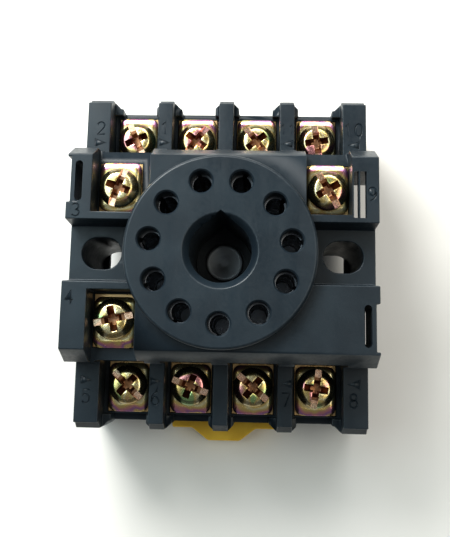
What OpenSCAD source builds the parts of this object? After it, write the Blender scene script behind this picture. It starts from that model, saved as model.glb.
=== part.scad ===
// Eleven-pin plug-in relay socket for a 35 mm rail or a panel.
// Screw terminals stand on two levels round a raised disc that takes the relay's pins.
// X runs along the rail, +Y is the end opposite the rail latch, +Z points out of the pin holes.

/* [Body] */
// Height from the feet to the top of the disc
height = 30; // [29.8:0.1:31]
// Width over the middle tier and its ears
mid_w = 42; // [41.8:0.1:42.6]
// Width of the lower tier
lower_w = 41.1; // [41:0.1:41.3]
// Length over the barriers of the lower tier
lower_l = 48.2; // [48:0.1:48.8]
// Length of the middle tier at its foot
mid_l = 29.6; // [29.2:0.1:29.8]
// Height of the lower tier's barriers
lower_h = 18.7; // [18.7:0.1:19]
// Height of the middle tier
mid_h = 28.2; // [28.1:0.1:28.4]
// Height of the flats round the mounting slots
flat_h = 24; // [23.5:0.1:24.5]
// Height of the joint between the housing and the rear cover
joint_h = 6; // [5.8:0.1:6.1]

/* [Relay side] */
// Diameter of the raised disc
disc_d = 25.7; // [25.4:0.1:26]
// Diameter of the circle that the pins stand on
pin_circle_d = 19.05; // [19:0.05:19.1]
// Diameter of a pin hole
pin_hole_d = 3; // [2.8:0.1:3.1]
// Diameter of the guide hole
guide_d = 8.3; // [8.1:0.1:8.4]
// Distance from the centre to the point of the guide hole's keyway
key_reach = 5.3; // [5.1:0.1:5.4]
// Diameter of the flared mouth of the guide hole
guide_mouth_d = 10; // [9.4:0.1:10.4]

/* [Terminals] */
// Distance of the lower terminals from the centre, along Y
row_y = 18; // [17.9:0.1:18.1]
// Distance between neighbouring lower terminals
row_pitch = 9; // [8.9:0.1:9.1]
// Distance of the middle terminals from the centre, along X
mid_x = 14.4; // [14.3:0.05:14.4]
// Distance of the middle terminals from the centre, along Y
mid_y = 9; // [8.9:0.1:9.1]
// Height of the lower contact plates
low_seat = 13.8; // [13.7:0.1:13.8]
// Height of the middle contact plates
mid_seat = 23.2; // [23.1:0.1:23.2]
// Diameter of a screw's head
head_d = 5.5; // [5.3:0.1:5.6]
// Height of a screw's head
head_h = 2; // [1.8:0.1:2]
// Nominal diameter of a screw's thread
thread_d = 2.9; // [2.8:0.1:3]
// Width of a clamp plate
clamp_w = 5.8; // [5.6:0.1:5.8]
// Length of a clamp plate
clamp_l = 6.9; // [6.7:0.1:6.9]
// Thickness of a clamp plate
clamp_t = 0.9; // [0.8:0.1:1]

/* [Mounting] */
// Distance between the mounting slots
slot_pitch = 33.2; // [33:0.1:33.4]
// Length of a mounting slot
slot_l = 5.5; // [5:0.1:5.6]
// Width of a mounting slot
slot_w = 4.4; // [4.2:0.1:4.5]
// Height of the rail's seat above the feet
rail_seat_h = 4.6; // [4.5:0.1:4.8]
// Width of the groove that takes the rail
rail_groove_w = 35.5; // [35.3:0.1:35.8]
// Width of the rail latch
latch_w = 16.2; // [15.8:0.1:16.4]
// How far the latch's tab stands out past the barriers
latch_out = 2.7; // [2.5:0.1:3]

/* [Hidden] */
$fn = 48;

// Running past a face, so that a cut leaves no skin
past = 0.5;
// Gap between two pieces of one assembly
gap = 0.05;

// Colours
moulding_colour = [0.13, 0.14, 0.16];
latch_colour = [0.92, 0.72, 0.12];
zinc_colour = [0.82, 0.74, 0.42];
brass_colour = [0.72, 0.6, 0.34];
steel_colour = [0.35, 0.36, 0.38];

// Relay pins
pin_count = 11;
pin_r = pin_circle_d / 2;
guide_r = guide_d / 2;
guide_floor = 13.5;
mouth_depth = 1.1;
hole_bevel = 0.2;
disc_bevel = 0.3;

// Lower tier, along X: the barriers and the end blocks bound four bays at each end
barrier_w = 2.15;
block_w = 3.45;
bay_in = [barrier_w / 2, row_pitch - barrier_w / 2];
bay_out = [row_pitch + barrier_w / 2, lower_w / 2 - block_w];
// Lower tier, along Y
bay_y0 = 14.5;
bay_y1 = 22.2;
face_y = 23.2;
barrier_flat_y = 22.4;
barrier_drop = 2.2;
shoulder_h = 15.2;
lip_h = 12;
entry_w = 5.1;
entry_in = 4.35;
entry_out = 13.3;

// Middle tier
mid_flat_y = 13.1;
mid_bevel_h = 24.5;
ear_foot_h = 16.5;
flat_y = 3.75;
flat_top_y = 4.2;
mid_bay_y0 = 5.2;
mid_bay_out = 17.6;
// Inner sides of the three middle bays, measured from the centre
bay_side_3 = 9.8;
bay_side_4 = 11.1;
bay_side_9 = 11.35;

// Slots and windows for a relay hold-down clip
clip_x = [18.9, 19.9];
clip_y = [6.65, 12.15];
clip_foot = 16;
clip_window_head = 21.6;
notch_depth = 0.5;
notch_y = [6.5, 12.7];
notch_foot = 20;
// The gate beside terminal 9: its mouth, the rib across it, and the open side under it
gate_x = [17.6, 19.3];
gate_y = [4.8, 11.1];
gate_rib = [18.25, 18.45];
gate_rib_foot = 26.8;
gate_wall = 0.2;
gate_throat_x = 18.2;
gate_throat_top = 22;
gate_side_head = 26.6;
gate_low_head = 18.5;
gate_low_y = 14.3;
gate_cover_x = 19.9;

// Contacts
sleeve_r = 1.75;
sleeve_bore_r = 1.25;
sleeve_top = 26.8;
sleeve_foot = 14.5;
sleeve_slit = 0.5;
well_r = 2.1;
well_top = 27.2;
plate_t = 0.8;
plate_w = 6;
plate_y = [-3.3, 3.9];
mid_plate_y = [-3.5, 3.8];
strap_w = 2;
strap_t = 0.6;
strap_play = 0.2;
boss_r = 2.2;
boss_t = 1.2;
tap_clearance = 0.05;

// Screws, and the way each one's slot points, in degrees from +X
shank_l = 7;
shank_tip = 0.4;
crown_r = 1.85;
crown_h = 0.8;
slot_cut_w = 1;
slot_cut_t = 0.8;
cross_cut_l = 3.5;
cross_cut_t = 1.4;
slot_angles = [53, -66, 70, 13, -43, -20, -40, 82, -60, -82, -52];

// Clamp plates
clamp_corner = 1;
clamp_hole_r = 1.7;
clamp_shift = 0.4;
clamp_tooth = 0.2;
clamp_groove_y = 1.9;

// Rear cover
foot_y = 23.6;
hook_reach = 1.45;
hook_h = [1.4, 3.3];
hook_x = [5, 12.5];
latch_bay_h = [0.75, 3.35];
latch_h = [0.8, 3.3];
rib_t = 1;
rib_x = 2.3;
rib_y = [-2.3, 2.8];
mid_rib_y = [-2.5, 1.4];
post_r = 1.2;
cover_hole_x = [14.1, 18.6];
cover_hole_y = 2.6;
foot_core_y = [18.9, 22.5];
foot_core_x = [9.6, 19.3];

// Snap arms that hold the rear cover, and the windows that their noses sit in
snap_y = 16.2;
snap_w = 2.6;
snap_arm_x = [18.8, 19.7];
snap_nose_x = 20.4;
snap_nose_h = [7.1, 8.5];
snap_arm_top = 8.9;
snap_play = 0.15;

// Latch, with y measured along the socket's own axis
latch_tip_y = -lower_l / 2 - latch_out;
latch_strip_y = -24.9;
latch_nose_y = -16.1;
latch_tab_w = [9.9, 5];
latch_side = 0.15;
window_y = [-23.6, -18];
window_w = 2.9;
stop_y = [-23.4, -22.6];
stop_w = 2.3;

// Latch spring
spring_wire_r = 0.17;
spring_r = 0.85;
spring_turns = 6;
spring_sides = 8;
spring_steps = 16;
spring_end = 0.02;

// Rivet
rivet_r = 1.4;
rivet_head_r = 2.75;
rivet_head_t = 0.6;
rivet_seat_gap = 0.2;
rivet_ring_r = 2.3;
rivet_ring_t = 0.7;

// The frame's origin is under the middle of the whole outline, latch included,
// so the socket's own axis stands half of the latch's overhang to the +Y side.
axis_y = latch_out / 2;

// x, y, seat height and direction of the wire entry along Y of each terminal
terminals = [
    [-row_pitch / 2, row_y, low_seat, 1],
    [-1.5 * row_pitch, row_y, low_seat, 1],
    [-mid_x, mid_y, mid_seat, 1],
    [-mid_x, -mid_y, mid_seat, -1],
    [-1.5 * row_pitch, -row_y, low_seat, -1],
    [-row_pitch / 2, -row_y, low_seat, -1],
    [row_pitch / 2, -row_y, low_seat, -1],
    [1.5 * row_pitch, -row_y, low_seat, -1],
    [mid_x, mid_y, mid_seat, 1],
    [1.5 * row_pitch, row_y, low_seat, 1],
    [row_pitch / 2, row_y, low_seat, 1]
];

function pin_angle(n) = 90 + (n - 0.5) * 360 / pin_count;
function pin_place(n) = pin_r * [cos(pin_angle(n)), sin(pin_angle(n))];

// Puts a piece drawn about the socket's own axis into the part's frame
module in_frame() {
    translate([0, axis_y, 0]) children();
}

// A box from its lowest to its highest corner
module span(low, high) {
    translate(low) cube(high - low);
}

// A straight bar along X with the outline given in Y and Z
module bar_x(x0, x1, outline) {
    translate([x0, 0, 0])
        rotate([90, 0, 90])
            linear_extrude(x1 - x0) polygon(outline);
}

// Both copies of a shape that is mirrored across the YZ plane
module both_x() {
    children();
    mirror([1, 0, 0]) children();
}

// Both copies of a shape that is mirrored across the XZ plane
module both_y() {
    children();
    mirror([0, 1, 0]) children();
}

// A slot along X: a box with two round ends
module slot_x(length, width, z0, z1) {
    reach = (length - width) / 2;
    span([-reach, -width / 2, z0], [reach, width / 2, z1]);
    both_x() translate([reach, 0, z0]) cylinder(d = width, h = z1 - z0);
}

// ---------------------------------------------------------------- housing

barrier_outline = [
    [-lower_l / 2, joint_h],
    [lower_l / 2, joint_h],
    [lower_l / 2, lower_h - barrier_drop],
    [barrier_flat_y, lower_h],
    [-barrier_flat_y, lower_h],
    [-lower_l / 2, lower_h - barrier_drop]
];

mid_outline = [
    [-mid_l / 2, joint_h],
    [mid_l / 2, joint_h],
    [mid_l / 2, mid_bevel_h],
    [mid_flat_y, mid_h],
    [-mid_flat_y, mid_h],
    [-mid_l / 2, mid_bevel_h]
];

ear_outline = [for (p = mid_outline) [p[0], max(p[1], ear_foot_h)]];

flat_cut_outline = [
    [-flat_y, flat_h],
    [flat_y, flat_h],
    [flat_top_y, mid_h + past],
    [-flat_top_y, mid_h + past]
];

module lower_tier() {
    span([-lower_w / 2, -face_y, joint_h], [lower_w / 2, face_y, lower_h]);
    bar_x(-barrier_w / 2, barrier_w / 2, barrier_outline);
    both_x() bar_x(bay_in[1], bay_out[0], barrier_outline);
    both_x() bar_x(bay_out[1], lower_w / 2, barrier_outline);
    gussets();
}

module middle_tier() {
    bar_x(-lower_w / 2, lower_w / 2, mid_outline);
    bar_x(-mid_w / 2, mid_w / 2, ear_outline);
}

// Corner fillets between the barriers and the recessed faces of the bays
module gussets() {
    leg = lower_l / 2 - face_y;
    both_x() both_y()
        for (side = [[bay_in[0], 1], [bay_in[1], -1], [bay_out[0], 1], [bay_out[1], -1]])
            translate([side[0], face_y, joint_h])
                linear_extrude(shoulder_h - joint_h)
                    polygon([
                        [-side[1] * gap, -gap],
                        [-side[1] * gap, leg],
                        [0, leg],
                        [side[1] * leg, 0],
                        [side[1] * leg, -gap]
                    ]);
}

// One bay of the lower tier: the clamp's well, the shoulders and the wire entry
module lower_bay(bay, entry_x) {
    span([bay[0], bay_y0, low_seat], [bay[1], bay_y1, height]);
    span([bay[0], bay_y1 - past, shoulder_h], [bay[1], lower_l / 2 + past, height]);
    span(
        [entry_x - entry_w / 2, bay_y1 - gap, lip_h],
        [entry_x + entry_w / 2, lower_l / 2 + past, height]
    );
}

module lower_bays() {
    both_y() both_x() {
        lower_bay(bay_in, entry_in);
        lower_bay(bay_out, entry_out);
    }
}

// One bay of the middle tier, drawn in the quadrant where x and y are positive
module middle_bay(inner_x, outer_x) {
    span([inner_x, mid_bay_y0, mid_seat], [outer_x, mid_l / 2 + past, height]);
}

module middle_bays() {
    mirror([1, 0, 0]) middle_bay(bay_side_3, mid_bay_out);
    mirror([1, 0, 0]) mirror([0, 1, 0]) middle_bay(bay_side_4, mid_bay_out);
    middle_bay(bay_side_9, gate_x[0] - gate_wall);
}

// Round-ended slot for one leg of a hold-down clip, with a window and a shallow notch in its outer side
module clip_slot() {
    r = (clip_x[1] - clip_x[0]) / 2;
    span([clip_x[0], clip_y[0] + r, clip_foot], [clip_x[1], clip_y[1] - r, height]);
    for (y = [clip_y[0] + r, clip_y[1] - r])
        translate([clip_x[0] + r, y, clip_foot]) cylinder(r = r, h = height - clip_foot);
    span(
        [clip_x[0] + r, clip_y[0] + r, clip_foot],
        [mid_w / 2 + past, clip_y[1] - r, clip_window_head]
    );
    span(
        [mid_w / 2 - notch_depth, notch_y[0], notch_foot],
        [mid_w / 2 + past, notch_y[1], height]
    );
}

// The gate in the ear beside terminal 9, with a thin rib across its mouth, open to the side below
module clip_gate() {
    side = mid_w / 2 + past;
    difference() {
        span([gate_x[0], gate_y[0], gate_throat_top], [gate_x[1], gate_y[1], height]);
        span(
            [gate_rib[0], gate_y[0] - past, gate_rib_foot],
            [gate_rib[1], gate_y[1] + past, height]
        );
    }
    span([gate_throat_x, gate_y[0], joint_h - past], [side, gate_y[1], gate_side_head]);
    span([gate_throat_x, gate_y[0], joint_h - past], [side, gate_low_y, gate_low_head]);
}

module flat_cuts() {
    both_x() bar_x(disc_d / 4, mid_w / 2 + past, flat_cut_outline);
}

module disc() {
    r = disc_d / 2;
    rotate_extrude()
        polygon([
            [0, lower_h],
            [r, lower_h],
            [r, height - disc_bevel],
            [r - disc_bevel, height],
            [0, height]
        ]);
}

module guide_hole() {
    lean = acos(guide_r / key_reach);
    touch = guide_r * [sin(lean), cos(lean)];
    rotate_extrude()
        polygon([
            [0, guide_floor],
            [guide_r, guide_floor],
            [guide_r, height - mouth_depth],
            [guide_mouth_d / 2, height],
            [guide_mouth_d / 2, height + past],
            [0, height + past]
        ]);
    translate([0, 0, guide_floor])
        linear_extrude(height - guide_floor + past)
            polygon([[0, 0], [touch[0], touch[1]], [0, key_reach], [-touch[0], touch[1]]]);
}

module pin_hole() {
    r = pin_hole_d / 2;
    rotate_extrude()
        polygon([
            [0, well_top - past],
            [r, well_top - past],
            [r, height - hole_bevel],
            [r + hole_bevel, height],
            [r + hole_bevel, height + past],
            [0, height + past]
        ]);
}

module mounting_slots(z0, z1) {
    both_x() translate([slot_pitch / 2, 0, 0]) slot_x(slot_l, slot_w, z0, z1);
}

// Slots for the rear cover's snap arms, and the windows for their noses
module snap_rooms() {
    side = snap_w / 2 + snap_play;
    both_y() both_x() translate([0, snap_y, 0]) {
        span(
            [snap_arm_x[0] - snap_play, -side, joint_h - past],
            [snap_arm_x[1] + snap_play, side, snap_arm_top + snap_play]
        );
        span(
            [snap_arm_x[0], -side, snap_nose_h[0] - snap_play],
            [lower_w / 2 + past, side, snap_nose_h[1] + snap_play]
        );
    }
}

// Room for one contact, open to the joint with the rear cover
module contact_room(n) {
    t = terminals[n - 1];
    ends = t[2] == low_seat ? plate_y : mid_plate_y;
    side = plate_w / 2 + gap;
    place = pin_place(n);
    way = [t[0], t[1]] - place;
    translate([place[0], place[1], joint_h - past])
        cylinder(r = well_r, h = well_top - joint_h + past);
    translate([place[0], place[1], joint_h - past])
        rotate([0, 0, atan2(way[1], way[0])])
            translate([0, -strap_w / 2 - strap_play, 0])
                cube([norm(way), strap_w + 2 * strap_play, t[2] - 2 * gap - joint_h + past]);
    translate([t[0], t[1], 0])
        facing(t[3])
            span(
                [-side, ends[0] - gap, joint_h - past],
                [side, ends[1] + gap, t[2] + gap]
            );
}

// A shape drawn facing +Y, turned to face -Y where the direction is -1
module facing(direction) {
    mirror([0, direction < 0 ? 1 : 0, 0]) children();
}

module housing() {
    color(moulding_colour)
        in_frame()
            difference() {
                union() {
                    difference() {
                        union() {
                            lower_tier();
                            middle_tier();
                        }
                        lower_bays();
                        middle_bays();
                        flat_cuts();
                        mirror([1, 0, 0]) clip_slot();
                        mirror([0, 1, 0]) clip_slot();
                        clip_gate();
                    }
                    disc();
                }
                guide_hole();
                for (n = [1:pin_count]) {
                    rotate([0, 0, pin_angle(n)]) translate([pin_r, 0, 0]) pin_hole();
                    contact_room(n);
                }
                mounting_slots(0, height);
                snap_rooms();
                rivet_seat();
            }
}

// Hole for the rivet, with a recess for its head in the guide hole's floor
module rivet_seat() {
    cylinder(r = rivet_r + gap, h = height / 2);
    translate([0, 0, guide_floor - rivet_head_t])
        cylinder(r = rivet_head_r + rivet_seat_gap, h = rivet_head_t + past);
}

// ---------------------------------------------------------------- rear cover and feet

// Two ribs that hold one contact plate up against the housing
module plate_ribs(t) {
    reach = t[2] == low_seat ? rib_y : mid_rib_y;
    translate([t[0], t[1], 0])
        facing(t[3])
            both_x()
                span(
                    [rib_x, reach[0], joint_h - past],
                    [rib_x + rib_t / 2, reach[1], t[2] - plate_t - gap]
                );
}

// The block of one foot, drawn at the +Y end, with the hollows in its underside
module foot_block(cores) {
    difference() {
        span([-lower_w / 2, rail_groove_w / 2, 0], [lower_w / 2, foot_y, rail_seat_h]);
        both_x()
            for (x = cores)
                span([x[0], foot_core_y[0], -past], [x[1], foot_core_y[1], rail_seat_h + past]);
    }
}

// The foot with the two fixed hooks for the rail
module hook_foot() {
    y0 = rail_groove_w / 2;
    color(moulding_colour)
        in_frame() {
            foot_block([foot_core_x, [rib_t / 2, foot_core_x[0] - rib_t]]);
            both_x()
                span([hook_x[0], y0 - hook_reach, hook_h[0]], [hook_x[1], y0 + past, hook_h[1]]);
        }
}

// The foot that guides the latch, with the post that the spring stands against
module latch_foot() {
    color(moulding_colour)
        in_frame() {
            difference() {
                mirror([0, 1, 0]) foot_block([foot_core_x]);
                span(
                    [-latch_w / 2 - latch_side, -foot_y - past, latch_bay_h[0]],
                    [latch_w / 2 + latch_side, -rail_groove_w / 2 + past, latch_bay_h[1]]
                );
            }
            span([-stop_w / 2, stop_y[0], latch_bay_h[0] - past], [stop_w / 2, stop_y[1], rail_seat_h]);
        }
}

module snap_arms() {
    both_y() both_x() {
        span(
            [snap_arm_x[0], snap_y - snap_w / 2, joint_h - past],
            [snap_arm_x[1], snap_y + snap_w / 2, snap_arm_top]
        );
        translate([0, snap_y + snap_w / 2, 0])
            rotate([90, 0, 0])
                linear_extrude(snap_w)
                    polygon([
                        [snap_arm_x[0], snap_nose_h[0]],
                        [snap_nose_x, snap_nose_h[0]],
                        [snap_nose_x, snap_nose_h[0] + rib_t / 2],
                        [snap_arm_x[1], snap_nose_h[1]],
                        [snap_arm_x[0], snap_nose_h[1]]
                    ]);
    }
}

// Square holes under the mounting slots, and the notch under the gate
module cover_holes() {
    both_x()
        span([cover_hole_x[0], -cover_hole_y, 0], [cover_hole_x[1], cover_hole_y, joint_h + past]);
    span([gate_cover_x, gate_y[0], 0], [lower_w / 2 + past, gate_low_y, joint_h + past]);
}

module rear_cover() {
    color(moulding_colour)
        in_frame() {
            difference() {
                span([-lower_w / 2, -foot_y, rail_seat_h], [lower_w / 2, foot_y, joint_h]);
                cover_holes();
                cylinder(r = rivet_r + gap, h = height / 2);
                cylinder(r = rivet_ring_r + rivet_seat_gap, h = rail_seat_h + rivet_ring_t);
            }
            snap_arms();
            for (n = [1:pin_count]) {
                plate_ribs(terminals[n - 1]);
                cover_post(n);
            }
        }
}

// Post under one pin's sleeve
module cover_post(n) {
    place = pin_place(n);
    top = terminals[n - 1][2] == low_seat ? low_seat - plate_t : sleeve_foot;
    translate([place[0], place[1], joint_h - past])
        cylinder(r = post_r, h = top - gap - joint_h + past);
}

module centre_rivet() {
    color(steel_colour)
        in_frame()
            rotate_extrude()
                polygon([
                    [0, rail_seat_h],
                    [rivet_ring_r, rail_seat_h],
                    [rivet_ring_r, rail_seat_h + rivet_ring_t],
                    [rivet_r, rail_seat_h + rivet_ring_t],
                    [rivet_r, guide_floor - rivet_head_t],
                    [rivet_head_r, guide_floor - rivet_head_t],
                    [rivet_head_r, guide_floor],
                    [0, guide_floor]
                ]);
}

// ---------------------------------------------------------------- rail latch

module latch_plan() {
    half = latch_w / 2;
    difference() {
        polygon([
            [-half, latch_nose_y],
            [-half, latch_strip_y],
            [-latch_tab_w[0] / 2, latch_strip_y],
            [-latch_tab_w[1] / 2, latch_tip_y],
            [latch_tab_w[1] / 2, latch_tip_y],
            [latch_tab_w[0] / 2, latch_strip_y],
            [half, latch_strip_y],
            [half, latch_nose_y]
        ]);
        translate([-window_w / 2, window_y[0]]) square([window_w, window_y[1] - window_y[0]]);
    }
}

module rail_latch() {
    nose = rail_groove_w / 2 + latch_nose_y;
    color(latch_colour)
        in_frame()
            difference() {
                translate([0, 0, latch_h[0]])
                    linear_extrude(latch_h[1] - latch_h[0]) latch_plan();
                bar_x(-latch_w, latch_w, [
                    [latch_nose_y - nose, latch_h[0] - past],
                    [latch_nose_y - nose, latch_h[0]],
                    [latch_nose_y + past, latch_h[0] + nose + past],
                    [latch_nose_y + past, latch_h[0] - past]
                ]);
            }
}

// A round wire swept along a helix between the cover's stop and the latch
module latch_spring() {
    y0 = stop_y[1] + spring_wire_r + spring_end;
    y1 = window_y[1] - spring_wire_r - spring_end;
    rings = spring_turns * spring_steps;
    centre_z = (latch_h[0] + latch_h[1]) / 2;
    points = [
        for (i = [0:rings])
            for (j = [0:spring_sides - 1])
                let (
                    turn = 360 * i / spring_steps,
                    around = 360 * j / spring_sides,
                    r = spring_r + spring_wire_r * cos(around)
                )
                [
                    r * cos(turn),
                    y0 + (y1 - y0) * i / rings + spring_wire_r * sin(around),
                    centre_z + r * sin(turn)
                ]
    ];
    walls = [
        for (i = [0:rings - 1])
            for (j = [0:spring_sides - 1])
                let (k = (j + 1) % spring_sides, a = i * spring_sides, b = a + spring_sides)
                [a + j, a + k, b + k, b + j]
    ];
    near_end = [for (j = [0:spring_sides - 1]) spring_sides - 1 - j];
    far_end = [for (j = [0:spring_sides - 1]) rings * spring_sides + j];
    color(steel_colour)
        in_frame() polyhedron(points, concat(walls, [near_end, far_end]), convexity = 8);
}

// ---------------------------------------------------------------- terminals

module contact(n) {
    t = terminals[n - 1];
    low = t[2] == low_seat;
    ends = low ? plate_y : mid_plate_y;
    place = pin_place(n);
    way = [t[0], t[1]] - place;
    foot = low ? t[2] - plate_t : sleeve_foot;
    strap_top = t[2] - plate_t + strap_t;
    color(brass_colour)
        in_frame()
            difference() {
                union() {
                    translate([place[0], place[1], foot])
                        cylinder(r = sleeve_r, h = sleeve_top - foot);
                    translate([place[0], place[1], strap_top - strap_t])
                        rotate([0, 0, atan2(way[1], way[0])])
                            translate([0, -strap_w / 2, 0])
                                cube([norm(way), strap_w, strap_t]);
                    translate([t[0], t[1], 0]) facing(t[3]) plate(t[2], ends);
                    translate([t[0], t[1], t[2] - plate_t - boss_t])
                        cylinder(r = boss_r, h = boss_t + plate_t / 2);
                }
                translate([place[0], place[1], foot + strap_t])
                    cylinder(r = sleeve_bore_r, h = sleeve_top);
                translate([place[0], place[1], 0])
                    rotate([0, 0, pin_angle(n)])
                        span(
                            [0, -sleeve_slit / 2, t[2] + strap_t],
                            [2 * sleeve_r, sleeve_slit / 2, height]
                        );
                translate([t[0], t[1], t[2] - plate_t - boss_t - past])
                    cylinder(r = thread_d / 2 + tap_clearance, h = height);
            }
}

// The flat plate that the wire is clamped on
module plate(top, ends) {
    span([-plate_w / 2, ends[0], top - plate_t], [plate_w / 2, ends[1], top]);
}

// A flat rectangle with round corners
module rounded_plate(width, length, corner) {
    square([width - 2 * corner, length], center = true);
    square([width, length - 2 * corner], center = true);
    for (sx = [-1, 1])
        for (sy = [-1, 1])
            translate([sx * (width / 2 - corner), sy * (length / 2 - corner)])
                circle(r = corner);
}

module clamp_plate(n) {
    t = terminals[n - 1];
    color(zinc_colour)
        in_frame()
            translate([t[0], t[1], t[2] + gap])
                facing(t[3])
                    difference() {
                        linear_extrude(clamp_t)
                            difference() {
                                translate([0, clamp_shift])
                                    rounded_plate(clamp_w, clamp_l, clamp_corner);
                                circle(r = clamp_hole_r);
                            }
                        both_y() clamp_groove();
                    }
}

// A shallow groove across the underside that grips the wire
module clamp_groove() {
    bar_x(-clamp_w, clamp_w, [
        [clamp_groove_y, -past],
        [clamp_groove_y, 0],
        [clamp_groove_y + clamp_tooth, clamp_tooth],
        [clamp_groove_y + 2 * clamp_tooth, 0],
        [clamp_groove_y + 2 * clamp_tooth, -past]
    ]);
}

module terminal_screw(n) {
    t = terminals[n - 1];
    shank_r = thread_d / 2;
    color(zinc_colour)
        in_frame()
            translate([t[0], t[1], t[2] + 2 * gap + clamp_t])
                rotate([0, 0, slot_angles[n - 1]])
                    difference() {
                        rotate_extrude()
                            polygon([
                                [0, -shank_l],
                                [shank_r - shank_tip, -shank_l],
                                [shank_r, -shank_l + shank_tip],
                                [shank_r, 0],
                                [head_d / 2, 0],
                                [head_d / 2, head_h - crown_h],
                                [crown_r, head_h],
                                [0, head_h]
                            ]);
                        driver_cuts();
                    }
}

// The slot across the head and the cross recess
module driver_cuts() {
    top = head_h + past;
    span([-head_d, -slot_cut_w / 2, head_h - slot_cut_t], [head_d, slot_cut_w / 2, top]);
    for (turn = [0, 90])
        rotate([0, 0, turn])
            span(
                [-cross_cut_l / 2, -slot_cut_w / 2, head_h - cross_cut_t],
                [cross_cut_l / 2, slot_cut_w / 2, top]
            );
}

// ---------------------------------------------------------------- the nodes

housing();
rear_cover();
hook_foot();
latch_foot();
centre_rivet();
rail_latch();
latch_spring();
contact(1);  // contact_1
contact(2);  // contact_2
contact(3);  // contact_3
contact(4);  // contact_4
contact(5);  // contact_5
contact(6);  // contact_6
contact(7);  // contact_7
contact(8);  // contact_8
contact(9);  // contact_9
contact(10);  // contact_10
contact(11);  // contact_11
clamp_plate(1);  // clamp_1
clamp_plate(2);  // clamp_2
clamp_plate(3);  // clamp_3
clamp_plate(4);  // clamp_4
clamp_plate(5);  // clamp_5
clamp_plate(6);  // clamp_6
clamp_plate(7);  // clamp_7
clamp_plate(8);  // clamp_8
clamp_plate(9);  // clamp_9
clamp_plate(10);  // clamp_10
clamp_plate(11);  // clamp_11
terminal_screw(1);  // screw_1
terminal_screw(2);  // screw_2
terminal_screw(3);  // screw_3
terminal_screw(4);  // screw_4
terminal_screw(5);  // screw_5
terminal_screw(6);  // screw_6
terminal_screw(7);  // screw_7
terminal_screw(8);  // screw_8
terminal_screw(9);  // screw_9
terminal_screw(10);  // screw_10
terminal_screw(11);  // screw_11
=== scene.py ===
"""Looks of an eleven-pin plug-in relay socket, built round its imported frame.

Shapes are drawn in millimetres.
"""

import math

import bmesh
import bpy
from mathutils import Matrix, Vector
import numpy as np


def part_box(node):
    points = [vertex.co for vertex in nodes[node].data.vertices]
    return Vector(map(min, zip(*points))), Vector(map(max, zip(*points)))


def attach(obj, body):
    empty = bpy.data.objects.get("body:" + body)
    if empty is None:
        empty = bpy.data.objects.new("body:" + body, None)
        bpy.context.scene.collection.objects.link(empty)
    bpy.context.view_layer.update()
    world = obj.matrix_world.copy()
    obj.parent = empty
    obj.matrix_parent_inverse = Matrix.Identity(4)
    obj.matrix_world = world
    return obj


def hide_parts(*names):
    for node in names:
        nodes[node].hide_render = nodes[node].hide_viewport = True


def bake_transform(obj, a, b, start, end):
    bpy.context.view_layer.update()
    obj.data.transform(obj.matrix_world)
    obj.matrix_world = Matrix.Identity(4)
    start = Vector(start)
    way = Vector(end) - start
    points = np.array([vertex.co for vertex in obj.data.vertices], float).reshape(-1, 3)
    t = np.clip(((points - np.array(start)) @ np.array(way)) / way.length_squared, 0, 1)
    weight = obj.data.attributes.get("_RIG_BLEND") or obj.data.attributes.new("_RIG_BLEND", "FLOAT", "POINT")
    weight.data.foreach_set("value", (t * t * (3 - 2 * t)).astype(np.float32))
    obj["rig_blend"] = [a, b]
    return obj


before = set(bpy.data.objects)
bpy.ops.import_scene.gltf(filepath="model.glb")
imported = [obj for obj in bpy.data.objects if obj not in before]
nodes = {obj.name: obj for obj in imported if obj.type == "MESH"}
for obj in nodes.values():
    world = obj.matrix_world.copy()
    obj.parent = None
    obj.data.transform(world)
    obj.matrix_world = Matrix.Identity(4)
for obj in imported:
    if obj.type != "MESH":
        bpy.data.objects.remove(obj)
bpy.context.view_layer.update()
scene = bpy.context.scene

MM = 0.001
TERMINALS = range(1, 12)
MARKS = ("rim", "hollow", "painted_glint", "shade")  # face attributes that the materials read


def box_mm(node):
    """Lowest and highest corner of a CAD node, in millimetres."""
    low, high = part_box(node)
    return low / MM, high / MM


housing_low, housing_high = box_mm("housing")
AXIS = Vector((0.0, (housing_low.y + housing_high.y) / 2, 0.0))
TOP = housing_high.z
LOWER_TOP = 18.7  # of the lower tier
MIDDLE_TOP = 28.2  # of the middle tier


# ---------------------------------------------------------------- shader helpers

def new_material(name):
    """A material with one surface shader: the material, its tree and the shader."""
    made = bpy.data.materials.new(name)
    made.use_nodes = True
    tree = made.node_tree
    tree.nodes.clear()
    out = tree.nodes.new("ShaderNodeOutputMaterial")
    shader = tree.nodes.new("ShaderNodeBsdfPrincipled")
    tree.links.new(shader.outputs[0], out.inputs[0])
    return made, tree, shader


def node_of(tree, kind, **settings):
    """A node with its inputs set, to a value or to a socket to link from.

    A keyword is an input's name, or i0, i1 and so on for its number, or p_ and a property's name.
    """
    made = tree.nodes.new(kind)
    for key, value in settings.items():
        if key.startswith("p_"):
            setattr(made, key[2:], value)
            continue
        is_number = key[0] == "i" and key[1:].isdigit()
        socket = made.inputs[int(key[1:]) if is_number else key]
        if isinstance(value, bpy.types.NodeSocket):
            tree.links.new(value, socket)
        else:
            socket.default_value = value
    return made


def place_of(tree):
    """Object coordinates in millimetres, shifted by each piece's own seed, so that like pieces differ."""
    coords = node_of(tree, "ShaderNodeTexCoord").outputs["Object"]
    seed = node_of(tree, "ShaderNodeAttribute", p_attribute_name="seed").outputs["Vector"]
    scaled = node_of(tree, "ShaderNodeVectorMath", p_operation="SCALE", i0=coords, Scale=1 / MM).outputs[0]
    return node_of(tree, "ShaderNodeVectorMath", p_operation="ADD", i0=scaled, i1=seed).outputs[0]


def stretched(tree, place, x, y, z):
    """A place scaled by a different amount along each axis."""
    return node_of(tree, "ShaderNodeVectorMath", p_operation="MULTIPLY", i0=place, i1=(x, y, z)).outputs[0]


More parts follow.
